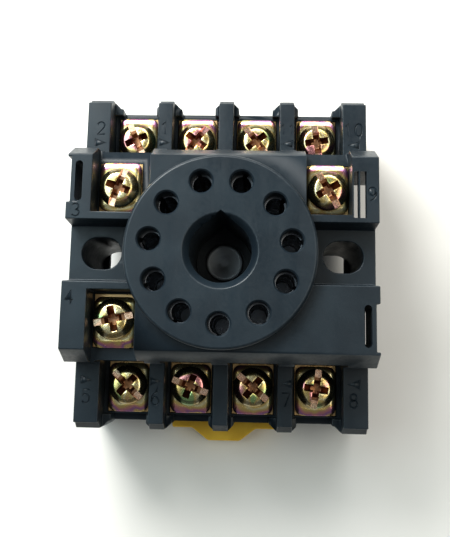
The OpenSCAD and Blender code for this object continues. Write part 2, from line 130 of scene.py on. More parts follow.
def noise_of(tree, place, scale, detail, rough, warp=0.0):
    """Noise from 0 to 1, with scale waves to the place's unit."""
    made = node_of(
        tree, "ShaderNodeTexNoise", Vector=place, Scale=scale, Detail=detail, Roughness=rough, Distortion=warp
    )
    return made.outputs[0]


def ramp(tree, value, low, high, to_low=0.0, to_high=1.0):
    """A value moved from one span to another and held inside it."""
    made = node_of(tree, "ShaderNodeMapRange", i0=value, i1=low, i2=high, i3=to_low, i4=to_high)
    made.interpolation_type = "SMOOTHSTEP"
    return made.outputs[0]


def maths(tree, operation, a, b):
    """A sum, difference or product of two values or sockets."""
    return node_of(tree, "ShaderNodeMath", p_operation=operation, i0=a, i1=b).outputs[0]


def mixed(tree, share, a, b):
    """Colour a with a share of colour b. Each is a socket or three numbers."""
    made = tree.nodes.new("ShaderNodeMix")
    made.data_type = "RGBA"
    for index, value in ((0, share), (6, a), (7, b)):
        socket = made.inputs[index]
        if isinstance(value, bpy.types.NodeSocket):
            tree.links.new(value, socket)
        else:
            socket.default_value = value if index == 0 else (*value, 1.0)
    return made.outputs[2]


def bumped(tree, height, distance_mm, strength, below=None):
    """The normal of a surface with that height, laid over the normal below."""
    made = node_of(tree, "ShaderNodeBump", Height=height, Strength=strength, Distance=distance_mm * MM)
    if below is not None:
        tree.links.new(below, made.inputs["Normal"])
    return made.outputs[0]


def face_share(tree, name):
    """How far a face bears one of the MARKS, from 0 to 1."""
    return node_of(tree, "ShaderNodeAttribute", p_attribute_name=name).outputs["Fac"]


# ---------------------------------------------------------------- materials

MOULDING_DARK = (0.0105, 0.0178, 0.0252)
MOULDING_LIGHT = (0.0165, 0.0262, 0.035)
MOULDING_WORN = (0.04, 0.052, 0.062)
# painted bounce light: the walls of the guide hole and the pin holes are painted this paler blue-grey
HOLE_PAINTED_BOUNCE = (0.022, 0.032, 0.041)
MOULDING_IOR = 1.46
MOULDING_SPECULAR = 0.42

LATCH_DEEP = (0.76, 0.48, 0.035)
LATCH_BRIGHT = (0.86, 0.58, 0.055)
LATCH_HANDLED = (0.55, 0.34, 0.03)

GOLD = (0.8, 0.6, 0.24)
PALE = (0.9, 0.8, 0.5)
PINK = (0.76, 0.36, 0.36)
VIOLET = (0.5, 0.24, 0.46)
GREEN = (0.42, 0.6, 0.28)
# painted highlight on the ends of the screw slots
SLOT_PAINTED_GLINT = (0.86, 0.5, 0.46)
RECESS_BROWN = (0.2, 0.075, 0.045)
CROWN_SHADE = (0.1, 0.08, 0.07)
CHROMATE_FLECK = (0.3, 0.24, 0.12)

# painted shade for the contact sleeves deep in the pin holes
SLEEVE_PAINTED_SHADE = (0.16, 0.2, 0.25)


def moulding_material(name, shade=1.0):
    """Black moulded thermoset with a faint blue cast and a satin skin.

    It has fine grain, flow marks and paler worn edges, and its hole walls are painted paler as painted bounce
    light.
    """
    made, tree, shader = new_material(name)
    place = place_of(tree)
    grain = noise_of(tree, place, 5.5, 4.0, 0.6)
    speck = noise_of(tree, place, 2.2, 2.0, 0.55)
    cloud = noise_of(tree, place, 0.16, 3.0, 0.5, 0.4)
    flow = noise_of(tree, stretched(tree, place, 0.35, 0.05, 0.2), 1.0, 2.0, 0.5, 0.8)
    rim = maths(tree, "MULTIPLY", face_share(tree, "rim"), ramp(tree, speck, 0.35, 0.7, 0.35, 1.0))
    dark, light, worn = (
        tuple(shade * c for c in colour) for colour in (MOULDING_DARK, MOULDING_LIGHT, MOULDING_WORN)
    )
    base = mixed(tree, ramp(tree, cloud, 0.3, 0.7), dark, light)
    base = mixed(tree, ramp(tree, grain, 0.56, 0.78, 0.0, 0.5), base, worn)
    base = mixed(tree, maths(tree, "MULTIPLY", rim, 0.45), base, worn)
    # painted bounce light: hole walls marked hollow are mixed towards a paler colour
    base = mixed(tree, maths(tree, "MULTIPLY", face_share(tree, "hollow"), 0.85), base, HOLE_PAINTED_BOUNCE)
    tree.links.new(base, shader.inputs["Base Color"])
    speckled = ramp(tree, speck, 0.2, 0.8, 0.3, 0.42)
    gloss = maths(tree, "ADD", speckled, ramp(tree, flow, 0.3, 0.7, -0.03, 0.05))
    gloss = maths(tree, "SUBTRACT", gloss, maths(tree, "MULTIPLY", rim, 0.06))
    tree.links.new(gloss, shader.inputs["Roughness"])
    shader.inputs["IOR"].default_value = MOULDING_IOR
    shader.inputs["Specular IOR Level"].default_value = MOULDING_SPECULAR
    under = bumped(tree, cloud, 0.05, 0.5)
    normal = bumped(tree, grain, 0.012, 0.55, below=under)
    tree.links.new(normal, shader.inputs["Normal"])
    return made


def latch_material():
    """Amber-yellow moulded nylon, slightly waxy, a little darker where it is handled."""
    made, tree, shader = new_material("latch_yellow")
    place = place_of(tree)
    grain = noise_of(tree, place, 4.5, 3.0, 0.55)
    cloud = noise_of(tree, place, 0.3, 3.0, 0.5, 0.3)
    base = mixed(tree, ramp(tree, cloud, 0.3, 0.7), LATCH_DEEP, LATCH_BRIGHT)
    base = mixed(tree, ramp(tree, grain, 0.6, 0.8, 0.0, 0.35), base, LATCH_HANDLED)
    tree.links.new(base, shader.inputs["Base Color"])
    tree.links.new(ramp(tree, grain, 0.25, 0.75, 0.34, 0.46), shader.inputs["Roughness"])
    shader.inputs["Subsurface Weight"].default_value = 0.12
    shader.inputs["Subsurface Radius"].default_value = (1.0, 0.6, 0.2)
    shader.inputs["Subsurface Scale"].default_value = 0.6 * MM
    tree.links.new(bumped(tree, grain, 0.012, 0.5), shader.inputs["Normal"])
    return made


def chromate_material(name, tones, rough=(0.16, 0.3), bands=0.0):
    """Yellow-passivated zinc, whose film turns from gold to pink, violet and green in broad patches.

    Tones are (film, colour) stops. With bands, the film also grows outward from the piece's own origin.
    """
    made, tree, shader = new_material(name)
    place = place_of(tree)
    film = noise_of(tree, place, 0.36, 1.0, 0.4, 0.7)
    if bands:
        own = node_of(tree, "ShaderNodeTexCoord").outputs["Object"]
        flat = stretched(tree, own, 1 / MM, 1 / MM, 0)
        reach = node_of(tree, "ShaderNodeVectorMath", p_operation="LENGTH", i0=flat).outputs["Value"]
        outward = ramp(tree, reach, 2.3, 4.4)
        film = maths(tree, "MULTIPLY", film, 0.62)
        film = maths(tree, "ADD", film, maths(tree, "MULTIPLY", outward, bands))
    fine = noise_of(tree, place, 6.0, 4.0, 0.6)
    scratch = noise_of(tree, stretched(tree, place, 0.8, 9.0, 4.0), 1.6, 3.0, 0.6)
    colours = tree.nodes.new("ShaderNodeValToRGB")
    colours.color_ramp.interpolation = "EASE"
    stops = colours.color_ramp.elements
    for index, (where, colour) in enumerate(tones):
        stop = stops[index] if index < 2 else stops.new(where)
        stop.position = where
        stop.color = (*colour, 1.0)
    tree.links.new(film, colours.inputs[0])
    hollow = face_share(tree, "hollow")
    painted_glint = face_share(tree, "painted_glint")
    # painted highlight: the slot's ends are mixed towards a pale pink
    base = mixed(tree, maths(tree, "MULTIPLY", painted_glint, 0.6), colours.outputs[0], SLOT_PAINTED_GLINT)
    base = mixed(tree, maths(tree, "MULTIPLY", hollow, 0.9), base, RECESS_BROWN)
    base = mixed(tree, maths(tree, "MULTIPLY", face_share(tree, "shade"), 0.6), base, CROWN_SHADE)
    base = mixed(tree, ramp(tree, fine, 0.6, 0.82, 0.0, 0.3), base, CHROMATE_FLECK)
    tree.links.new(base, shader.inputs["Base Color"])
    shader.inputs["Metallic"].default_value = 1.0
    gloss = maths(tree, "ADD", ramp(tree, fine, 0.25, 0.75, *rough), maths(tree, "MULTIPLY", hollow, 0.1))
    tree.links.new(gloss, shader.inputs["Roughness"])
    under = bumped(tree, fine, 0.01, 0.5)
    normal = bumped(tree, scratch, 0.008, 0.35, below=under)
    tree.links.new(normal, shader.inputs["Normal"])
    return made


def plain_metal(name, low, high, rough, tarnish):
    """Rolled or drawn metal with faint drawing lines, patchy tarnish and painted shade in its hollows."""
    made, tree, shader = new_material(name)
    place = place_of(tree)
    cloud = noise_of(tree, place, 0.5, 3.0, 0.55, 0.5)
    fine = noise_of(tree, place, 7.0, 3.0, 0.55)
    drawn = noise_of(tree, stretched(tree, place, 1.0, 1.0, 12.0), 1.2, 3.0, 0.6)
    base = mixed(tree, ramp(tree, cloud, 0.3, 0.7), low, high)
    base = mixed(tree, ramp(tree, fine, 0.6, 0.82, 0.0, 0.6), base, tarnish)
    # painted shade: faces marked hollow, the contact sleeves, are mixed towards a dark blue-grey
    base = mixed(tree, maths(tree, "MULTIPLY", face_share(tree, "hollow"), 0.9), base, SLEEVE_PAINTED_SHADE)
    tree.links.new(base, shader.inputs["Base Color"])
    shader.inputs["Metallic"].default_value = 1.0
    tree.links.new(ramp(tree, cloud, 0.2, 0.8, *rough), shader.inputs["Roughness"])
    under = bumped(tree, fine, 0.006, 0.5)
    normal = bumped(tree, drawn, 0.01, 0.4, below=under)
    tree.links.new(normal, shader.inputs["Normal"])
    return made


moulding = moulding_material("moulding_black")
cover_moulding = moulding_material("cover_black", 0.9)
latch_yellow = latch_material()
screw_metal = chromate_material(
    "screw_chromate",
    [(0.32, PINK), (0.72, GREEN), (0.42, GOLD), (0.5, PALE), (0.6, GOLD)],
)
clamp_metal = chromate_material(
    "clamp_chromate",
    [(0.28, GOLD), (0.86, GREEN), (0.38, PALE), (0.5, GOLD), (0.6, PINK), (0.68, VIOLET), (0.77, GOLD)],
    rough=(0.17, 0.28),
    bands=0.42,
)
contact_metal = plain_metal(
    "contact_brass", (0.62, 0.42, 0.2), (0.74, 0.52, 0.28), rough=(0.22, 0.36), tarnish=(0.12, 0.08, 0.04)
)
rivet_metal = plain_metal(
    "rivet_steel", (0.26, 0.28, 0.3), (0.36, 0.38, 0.4), rough=(0.4, 0.55), tarnish=(0.12, 0.12, 0.12)
)
spring_metal = plain_metal(
    "spring_steel", (0.5, 0.5, 0.52), (0.62, 0.62, 0.64), rough=(0.2, 0.3), tarnish=(0.2, 0.18, 0.16)
)


# ---------------------------------------------------------------- mesh helpers

SEED_STEPS = (3.7, 1.9, 5.3)  # how far one step of a piece's seed moves its noise, in millimetres


def finish_piece(
    name, bm, material, body, replaced, seed=0.0, angle=34.0, weighted=True, at=None
):
    """Turns a bmesh in millimetres into a piece on a body.

    With at, the bmesh is drawn about the piece's own origin, which stands at that place.
    """
    for mark in MARKS:
        if mark not in bm.faces.layers.float:
            bm.faces.layers.float.new(mark)
    seeds = bm.verts.layers.float_vector.new("seed")
    for v in bm.verts:
        v[seeds] = Vector([seed * step for step in SEED_STEPS])
    bmesh.ops.recalc_face_normals(bm, faces=bm.faces)
    bmesh.ops.scale(bm, vec=(MM, MM, MM), verts=bm.verts)
    mesh = bpy.data.meshes.new(name)
    bm.to_mesh(mesh)
    bm.free()
    mesh.shade_smooth()
    mesh.set_sharp_from_angle(angle=math.radians(angle))
    mesh.materials.append(material)
    piece = bpy.data.objects.new(name, mesh)
    scene.collection.objects.link(piece)
    if at is not None:
        piece.location = at * MM
    if weighted:
        smooth = piece.modifiers.new("even_normals", "WEIGHTED_NORMAL")
        smooth.keep_sharp = True
    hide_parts(*replaced)
    if body:
        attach(piece, body)
    return piece


WELD = 0.002
FLAT_WITHIN = math.radians(0.4)


def make_whole(bm):
    """Welds a mesh and joins its flat faces that were cut into several."""
    bmesh.ops.remove_doubles(bm, verts=bm.verts, dist=WELD)
    bmesh.ops.dissolve_limit(
        bm, angle_limit=FLAT_WITHIN, verts=bm.verts, edges=bm.edges, use_dissolve_boundaries=False
    )
    bmesh.ops.recalc_face_normals(bm, faces=bm.faces)


def copy_of(node):
    """A CAD node's mesh in millimetres, welded, with flat faces made whole again."""
    bm = bmesh.new()
    bm.from_mesh(nodes[node].data)
    bmesh.ops.scale(bm, vec=(1 / MM,) * 3, verts=bm.verts)
    make_whole(bm)
    return bm


ROOM_ALONG = 2.2  # least length of a rounded edge, in widths
ROOM_BESIDE = 1.6  # least length of the edges that meet it
BEVEL_TRIALS = 12
OVERLAP_ALLOWED = 0.01  # in square millimetres, on a face that was there before the bevel
OVERLAP_ALLOWED_NEW = 0.12  # on one that the bevel made, which may be warped


def edges_to_round(bm, width, least_angle, wanted, left_sharp):
    """Sharp edges with room round them for a bevel of that width."""
    found = []
    for e in bm.edges:
        if e.index in left_sharp or len(e.link_faces) != 2 or e.calc_length() < ROOM_ALONG * width:
            continue
        if e.calc_face_angle(0.0) < math.radians(least_angle):
            continue
        if wanted is not None and not wanted(e):
            continue
        near = [o for v in e.verts for o in v.link_edges if o is not e]
        if any(o.calc_length() < ROOM_BESIDE * width for o in near):
            continue
        found.append(e)
    return found


def crossing_points(face):
    """Places where a face's outline crosses itself."""
    across = face.normal.orthogonal().normalized()
    along = face.normal.cross(across)
    corners = [v.co for v in face.verts]
    flat = [(c.dot(across), c.dot(along)) for c in corners]
    count = len(flat)
    found = []
    for i in range(count):
        (ax, ay), (bx, by) = flat[i], flat[(i + 1) % count]
        for j in range(i + 2, count - (i == 0)):
            (cx, cy), (dx, dy) = flat[j], flat[(j + 1) % count]
            turn = (bx - ax) * (dy - cy) - (by - ay) * (dx - cx)
            if abs(turn) < 1e-12:
                continue
            u = ((cx - ax) * (dy - cy) - (cy - ay) * (dx - cx)) / turn
            w = ((cx - ax) * (by - ay) - (cy - ay) * (bx - ax)) / turn
            if -1e-6 < u < 1 + 1e-6 and -1e-6 < w < 1 + 1e-6:
                found.append(corners[i].lerp(corners[(i + 1) % count], u))
    return found


def faces_gone_wrong(bm, rounded):
    """Faces that a bevel has made cross themselves: their triangles cover more than their area."""
    covered = {}
    for loops in bm.calc_loop_triangles():
        a, b, c = (loop.vert.co for loop in loops)
        face = loops[0].face
        covered[face] = covered.get(face, 0.0) + (b - a).cross(c - a).length / 2
    wrong = []
    for face, area in covered.items():
        allowed = OVERLAP_ALLOWED_NEW if face in rounded else OVERLAP_ALLOWED
        if area > face.calc_area() + allowed:
            wrong.append(face)
    return wrong


def distance_to(place, ends):
    """Distance from a place to the line between two ends."""
    along = ends[1] - ends[0]
    share = min(1.0, max(0.0, (place - ends[0]).dot(along) / along.length_squared))
    return (ends[0] + along * share - place).length


def round_edges(bm, width, least_angle=34.0, segments=2, wanted=None):
    """Rounds the sharp edges and marks the new faces as rim.

    Edges that would spoil a face near them are found by trial and left sharp.
    """
    rim = bm.faces.layers.float.new("rim")
    bm.edges.index_update()

    def bevelled(mesh, left_sharp):
        edges = edges_to_round(mesh, width, least_angle, wanted, left_sharp)
        ends = {e.index: [v.co.copy() for v in e.verts] for e in edges}
        made = bmesh.ops.bevel(
            mesh, geom=edges, offset=width, offset_type="OFFSET", segments=segments,
            profile=0.5, affect="EDGES", clamp_overlap=False, miter_outer="SHARP",
        )
        return set(made["faces"]), ends

    left_sharp = set()
    for _ in range(BEVEL_TRIALS):
        trial = bm.copy()
        trial.edges.index_update()
        rounded, ends = bevelled(trial, left_sharp)
        more = set()
        for face in faces_gone_wrong(trial, rounded):
            places = crossing_points(face) or [v.co for v in face.verts]
            for place in places:
                by_distance = sorted((distance_to(place, pair), index) for index, pair in ends.items())
                more.update(index for far, index in by_distance if far < width)
                more.update(index for far, index in by_distance[:2])
        trial.free()
        if not more:
            break
        left_sharp |= more
    rounded, _ = bevelled(bm, left_sharp)
    for f in rounded:
        f[rim] = 1.0
    bmesh.ops.dissolve_degenerate(bm, dist=WELD, edges=bm.edges)
    return bm


def cut(bm, cutters, operation="DIFFERENCE", self_too=False):
    """Exact boolean of two bmeshes in millimetres, which it uses up. With self_too, they may self-cross."""
    objects = []
    for part in (bm, cutters):
        mesh = bpy.data.meshes.new("cut")
        part.to_mesh(mesh)
        part.free()
        o = bpy.data.objects.new("cut", mesh)
        scene.collection.objects.link(o)
        objects.append(o)
    tool = objects[0].modifiers.new("cut", "BOOLEAN")
    tool.operation = operation
    tool.object = objects[1]
    tool.solver = "EXACT"
    tool.use_self = self_too
    bpy.context.view_layer.update()
    result = objects[0].evaluated_get(bpy.context.evaluated_depsgraph_get())
    made = bmesh.new()
    made.from_mesh(result.to_mesh())
    result.to_mesh_clear()
    for o in objects:
        mesh = o.data
        bpy.data.objects.remove(o)
        bpy.data.meshes.remove(mesh)
    return made


def lathe(profile, sides=64):
    """A closed turned shape about Z from (radius, height) points, which start and end on the axis."""
    bm = bmesh.new()
    rings = []
    for radius, z in profile:
        if radius == 0:
            rings.append([bm.verts.new((0, 0, z))])
            continue
        turns = [2 * math.pi * k / sides for k in range(sides)]
        rings.append([bm.verts.new((radius * math.cos(a), radius * math.sin(a), z)) for a in turns])
    for a, b in zip(rings, rings[1:]):
        for k in range(sides):
            j = (k + 1) % sides
            if len(a) == 1:
                bm.faces.new((a[0], b[j], b[k]))
            elif len(b) == 1:
                bm.faces.new((a[k], a[j], b[0]))
            else:
                bm.faces.new((a[k], a[j], b[j], b[k]))
    bmesh.ops.recalc_face_normals(bm, faces=bm.faces)
    return bm


def frustum(low, high, z0, z1):
    """A closed block whose rectangle at z0 has half sizes low, and at z1 half sizes high."""
    bm = bmesh.new()
    corners = [(-1, -1), (1, -1), (1, 1), (-1, 1)]
    a = [bm.verts.new((sx * low[0], sy * low[1], z0)) for sx, sy in corners]
    b = [bm.verts.new((sx * high[0], sy * high[1], z1)) for sx, sy in corners]
    bm.faces.new(a[::-1])
    bm.faces.new(b)
    for k in range(4):
        j = (k + 1) % 4
        bm.faces.new((a[k], a[j], b[j], b[k]))
    return bm


# ---------------------------------------------------------------- engraved numerals

def arc(cx, cy, rx, ry, start, end, steps=10):
    """Points along an ellipse's arc, from one angle in degrees to another."""
    angles = [math.radians(start + (end - start) * k / steps) for k in range(steps + 1)]
    return [(cx + rx * math.cos(a), cy + ry * math.sin(a)) for a in angles]


# strokes of each digit, in digit heights from its lower left corner
STROKES = {
    "0": [arc(0.3, 0.5, 0.28, 0.5, 0, 360, 20)],
    "1": [[(0.12, 0.76), (0.34, 1.0), (0.34, 0.0)]],
    "2": [arc(0.3, 0.71, 0.28, 0.29, 165, -38) + [(0.02, 0.0), (0.6, 0.0)]],
    "3": [arc(0.28, 0.76, 0.25, 0.24, 150, -90) + arc(0.28, 0.27, 0.3, 0.27, 75, -150)],
    "4": [[(0.44, 0.0), (0.44, 1.0), (0.0, 0.3), (0.62, 0.3)]],
    "5": [[(0.56, 1.0), (0.1, 1.0), (0.06, 0.56)] + arc(0.28, 0.33, 0.3, 0.33, 118, -145)],
    "6": [arc(0.56, 0.42, 0.54, 0.56, 100, 180) + arc(0.3, 0.3, 0.28, 0.3, 170, -190, 18)],
    "7": [[(0.0, 1.0), (0.58, 1.0), (0.2, 0.0)]],
    "8": [arc(0.3, 0.76, 0.23, 0.24, -90, 270, 16), arc(0.3, 0.26, 0.29, 0.26, 90, 450, 16)],
    "9": [arc(0.04, 0.58, 0.54, 0.56, -80, 0) + arc(0.3, 0.7, 0.28, 0.3, -10, 350, 18)],
}
DIGIT_WIDTH = 0.6
DIGIT_GAP = 0.24
DIGIT_HEIGHT = 1.85
POINTER = [(-0.75, 0.52), (0.75, 0.0), (-0.75, -0.52), (-0.75, 0.52)]
POINTER_SIZE = 1.05
GROOVE_R = 0.13
GROOVE_LIFT = 0.02  # how far the groove's centre line is above the face


def digit_lines(text, x, y, height):
    """The strokes of a number centred on x, y."""
    width = len(text) * DIGIT_WIDTH + (len(text) - 1) * DIGIT_GAP
    lines = []
    for index, digit in enumerate(text):
        left = index * (DIGIT_WIDTH + DIGIT_GAP) - width / 2
        for stroke in STROKES[digit]:
            lines.append([(x + (left + px) * height, y + (py - 0.5) * height) for px, py in stroke])
    return lines


def pointer_lines(x, y, way, size=POINTER_SIZE):
    """An outlined triangle that points along X to its terminal."""
    return [[(x + way * px * size, y + py * size) for px, py in POINTER]]


def grooves(groups):
    """Cutters for round-bottomed grooves. Groups holds (lines, height of the face they are cut in)."""
    curve = bpy.data.curves.new("groove", "CURVE")
    curve.dimensions = "3D"
    curve.bevel_depth = GROOVE_R
    curve.bevel_resolution = 2
    curve.use_fill_caps = True
    for lines, z in groups:
        for line in lines:
            closed = (Vector(line[0]) - Vector(line[-1])).length < 1e-4
            points = line[:-1] if closed else line
            spline = curve.splines.new("POLY")
            spline.points.add(len(points) - 1)
            spline.use_cyclic_u = closed
            for point, (px, py) in zip(spline.points, points):
                point.co = (px, py + AXIS.y, z + GROOVE_LIFT, 1.0)
    o = bpy.data.objects.new("groove", curve)
    scene.collection.objects.link(o)
    bpy.context.view_layer.update()
    result = o.evaluated_get(bpy.context.evaluated_depsgraph_get())
    bm = bmesh.new()
    bm.from_mesh(result.to_mesh())
    result.to_mesh_clear()
    bpy.data.objects.remove(o)
    bpy.data.curves.remove(curve)
    bmesh.ops.recalc_face_normals(bm, faces=bm.faces)
    return bm


# ---------------------------------------------------------------- housing and rear cover

PIN_CIRCLE_R = 9.525
PIN_HOLE_REACH = 1.6  # a little over a pin hole's radius
PIN_WALL_SPAN = 1.9  # a pin hole's faces are all smaller, corner to middle
KEYED_HOLE_REACH = 5.4  # just past the guide hole's keyway
GUIDE_WALL_TOP = TOP - 1.15  # below the guide hole's flared mouth
PIN_WALL_TOP = TOP - 0.3

SEAT_SPANS = ((13.7, 13.95), (23.1, 23.35))  # heights round the seats, where a plate closes each room
ROOM_TOP = 13.9
ROOM_HALF = (20.4, 22.8)  # inside the outer walls

HOUSING_ROUND = 0.14
COVER_ROUND = 0.15
LATCH_ROUND = 0.28

# number, its place and height, then its pointer's place, way and size
LOWER_MARKS = (
    ("5", (-18.9, -19.6), DIGIT_HEIGHT, (-18.9, -17.35), 1, POINTER_SIZE),
    ("6", (-9.1, -19.7), DIGIT_HEIGHT, (-9.1, -17.35), 1, POINTER_SIZE),
    ("7", (9.15, -19.5), DIGIT_HEIGHT, (9.15, -17.3), -1, POINTER_SIZE),
    ("8", (18.5, -19.4), DIGIT_HEIGHT, (18.5, -17.2), -1, 1.2),
    ("2", (-18.5, 19.2), DIGIT_HEIGHT, (-18.5, 17.0), 1, POINTER_SIZE),
    ("1", (-9.05, 19.3), DIGIT_HEIGHT, (-9.05, 17.1), 1, POINTER_SIZE),
    ("11", (9.05, 19.3), 1.45, (9.05, 17.1), -1, POINTER_SIZE),
    ("10", (18.7, 19.3), DIGIT_HEIGHT, (18.7, 17.0), -1, POINTER_SIZE),
)
# number, its place and height
MIDDLE_MARKS = (
    ("3", (-19.6, 5.35), 1.7),
    ("4", (-19.9, -6.3), DIGIT_HEIGHT),
    ("9", (20.1, 8.0), DIGIT_HEIGHT),
)


def is_seen(edge):
    """Whether an edge is outside the rooms for the contacts, which the contact plates close."""
    places = [v.co for v in edge.verts]
    for low, high in SEAT_SPANS:
        if all(low < p.z < high for p in places):
            return False
    half_x, half_y = ROOM_HALF
    return not all(p.z < ROOM_TOP and abs(p.x) < half_x and abs(p.y - AXIS.y) < half_y for p in places)


def is_in_hole(face):
    """Whether a face of the housing is a wall of the guide hole or of a pin hole."""
    middle = face.calc_center_median()
    reach = math.hypot(middle.x - AXIS.x, middle.y - AXIS.y)
    if reach < KEYED_HOLE_REACH:
        return middle.z < GUIDE_WALL_TOP
    is_small = all((v.co - middle).length < PIN_WALL_SPAN for v in face.verts)
    is_near = abs(reach - PIN_CIRCLE_R) < PIN_HOLE_REACH
    return is_small and is_near and LOWER_TOP < middle.z < PIN_WALL_TOP


def build_housing():
    """The housing, with rounded edges and the terminals' numbers and pointers engraved."""
    bm = round_edges(copy_of("housing"), HOUSING_ROUND, wanted=is_seen)
    lower_lines, middle_lines = [], []
    for text, place, height, tip, way, size in LOWER_MARKS:
        lower_lines += digit_lines(text, *place, height) + pointer_lines(*tip, way, size)
    for text, place, height in MIDDLE_MARKS:
        middle_lines += digit_lines(text, *place, height)
    bm = cut(bm, grooves([(lower_lines, LOWER_TOP), (middle_lines, MIDDLE_TOP)]), self_too=True)
    hollow = bm.faces.layers.float.new("hollow")
    for f in bm.faces:
        if is_in_hole(f):
            f[hollow] = 1.0
    finish_piece("housing_moulding", bm, moulding, "base", ["housing"])


def build_rear_cover():
    """The rear cover and its two feet, as the one moulding they are."""
    bm = cut(cut(copy_of("rear_cover"), copy_of("hook_foot"), "UNION"), copy_of("latch_foot"), "UNION")
    make_whole(bm)
    round_edges(bm, COVER_ROUND)
    parts = ["rear_cover", "hook_foot", "latch_foot"]
    finish_piece("rear_cover_moulding", bm, cover_moulding, "base", parts, seed=4.0)


def build_latch():
    """The rail latch, with well rounded edges."""
    bm = round_edges(copy_of("rail_latch"), LATCH_ROUND, segments=3)
    finish_piece("latch_moulding", bm, latch_yellow, "latch", ["rail_latch"], seed=2.0)


# ---------------------------------------------------------------- screws

SLOT_ANGLES = [53, -66, 70, 13, -43, -20, -40, 82, -60, -82, -52]  # of screws 1 to 11, in degrees
HEAD_H = 2.0
HEAD_ROUND = 0.045
SLOT_DEPTH = 0.85
CROSS_DEPTH = 1.5
CROSS_REACH = 1.62  # how far out the cross arms count as hollow
CROWN_SPAN = (1.15, 1.84)  # heights of the crown's sloping shoulder
CROWN_REACH = 2.15
SHANK_R = 1.45
SHANK_L = 7.0
SHANK_JOIN = 0.3  # how far the plain core runs below the head, inside the thread
THREAD_PITCH = 0.5
THREAD_DEPTH = 0.26
CORE_R = SHANK_R - THREAD_DEPTH


def screw_mesh():
    """A turned head with a full slot and a tapered cross recess, on a threaded shank.

    Z 0 is the head's underside.
    """
    head = lathe([
        (0, -SHANK_JOIN), (CORE_R, -SHANK_JOIN), (CORE_R, 0.0),
        (2.6, 0.0), (2.72, 0.05), (2.75, 0.16), (2.75, 0.95), (2.73, 1.12),
        (2.66, 1.27), (2.52, 1.42), (2.3, 1.6), (2.05, 1.79), (1.94, 1.86), (1.84, 1.905),
        (1.7, 1.935), (1.3, 1.965), (0.6, 1.99), (0, HEAD_H),
    ])
    head = cut(head, frustum((3.2, 0.44), (3.2, 0.5), HEAD_H - SLOT_DEPTH, HEAD_H + 0.5))
    for turn in (0, 90):
        arm = frustum((0.75, 0.3), (1.86, 0.52), HEAD_H - CROSS_DEPTH, HEAD_H + 0.12)
        turn_about_z(arm, turn)
        head = cut(head, arm)
    bmesh.ops.remove_doubles(head, verts=head.verts, dist=WELD / 2)
    round_edges(head, HEAD_ROUND, least_angle=38.0, wanted=lambda e: all(v.co.z > 0.3 for v in e.verts))
    for side in (-1, 1):
        everything = head.verts[:] + head.edges[:] + head.faces[:]
        bmesh.ops.bisect_plane(head, geom=everything, plane_co=(side * CROSS_REACH, 0, 0), plane_no=(1, 0, 0))
    mark_head(head)
    add_thread(head)
    return head


def turn_about_z(bm, degrees):
    """Turns a bmesh about the Z axis."""
    turned = Matrix.Rotation(math.radians(degrees), 3, "Z")
    bmesh.ops.rotate(bm, cent=(0, 0, 0), matrix=turned, verts=bm.verts)


def mark_head(head):
    """Marks the cross recess as hollow, the slot's ends for a painted highlight and the crown's shoulder as
    shade.
    """
    hollow, painted_glint, shade = (head.faces.layers.float.new(mark) for mark in ("hollow", "painted_glint", "shade"))
    for f in head.faces:
        c = f.calc_center_median()
        reach = math.hypot(c.x, c.y)
        if 0.3 < c.z < HEAD_H - 0.12 and reach < CROSS_REACH and min(abs(c.x), abs(c.y)) < 0.56:
            f[hollow] = 1.0
        elif 0.9 < c.z < HEAD_H - 0.3 and abs(c.y) < 0.47:
            f[painted_glint] = 1.0
        elif CROWN_SPAN[0] < c.z < CROWN_SPAN[1] and reach > CROWN_REACH:
            f[shade] = 1.0


def add_thread(bm):
    """A rolled thread round the shank, closed at both ends, with a tapered tip."""
    sides, rows_per_turn = 32, 8
    thread_top, tip, tip_step = -0.05, 0.7, 0.25
    rows = int(SHANK_L / THREAD_PITCH * rows_per_turn)
    rings = []
    for row in range(rows + 1):
        z = thread_top - (SHANK_L + thread_top) * row / rows
        taper = min(1.0, (z + SHANK_L) / tip)
        ring = []
        for k in range(sides):
            turn = k / sides
            phase = (z / THREAD_PITCH - turn) % 1.0
            tooth = 1 - abs(2 * phase - 1)
            r = CORE_R + THREAD_DEPTH * min(1.0, 1.35 * tooth) * taper - tip_step * (1 - taper)
            angle = 2 * math.pi * turn
            ring.append(bm.verts.new((r * math.cos(angle), r * math.sin(angle), z)))
        rings.append(ring)
    for a, b in zip(rings, rings[1:]):
        for k in range(sides):
            j = (k + 1) % sides
            bm.faces.new((a[k], b[k], b[j], a[j]))
    bm.faces.new(rings[0])
    bm.faces.new(rings[-1][::-1])


def build_screws():
    """The eleven screws, each turned to its own slot angle."""
    model = screw_mesh()
    for n in TERMINALS:
        low, high = box_mm(f"screw_{n}")
        centre = (low + high) / 2
        bm = model.copy()
        turn_about_z(bm, SLOT_ANGLES[n - 1])
        under = Vector((centre.x, centre.y, high.z - HEAD_H))
        finish_piece(
            f"screw_{n}_turned", bm, screw_metal, f"screw_{n}_body", [f"screw_{n}"],
            seed=float(n), angle=40.0, at=under,
        )
    model.free()


# ---------------------------------------------------------------- clamp plates

CLAMP_HALF = (2.9, 3.45)
CLAMP_CORNER = 1.05
CLAMP_T = 0.9  # height of the flat ring round the hole over the lowest underside
SHEET_T = 0.62
CLAMP_HOLE = 1.62
CLAMP_SHIFT = 0.4  # how far the hole is off the plate's own centre
RIDGE_START = 0.55 * CLAMP_HALF[1]
RIDGE_PITCH = 0.5
RIDGE_DEPTH = 0.07
CLAMP_ROUND = 0.05


def rounded_reach(angle, half, corner):
    """Distance from the centre to a rounded rectangle's edge in a direction."""
    c, s = abs(math.cos(angle)), abs(math.sin(angle))
    inner = (half[0] - corner, half[1] - corner)
    reach = min(half[0] / c if c > 1e-9 else 1e9, half[1] / s if s > 1e-9 else 1e9)
    x, y = reach * c, reach * s
    if x > inner[0] and y > inner[1]:
        b = c * inner[0] + s * inner[1]
        reach = b + math.sqrt(max(0.0, b * b - inner[0] ** 2 - inner[1] ** 2 + corner ** 2))
    return reach


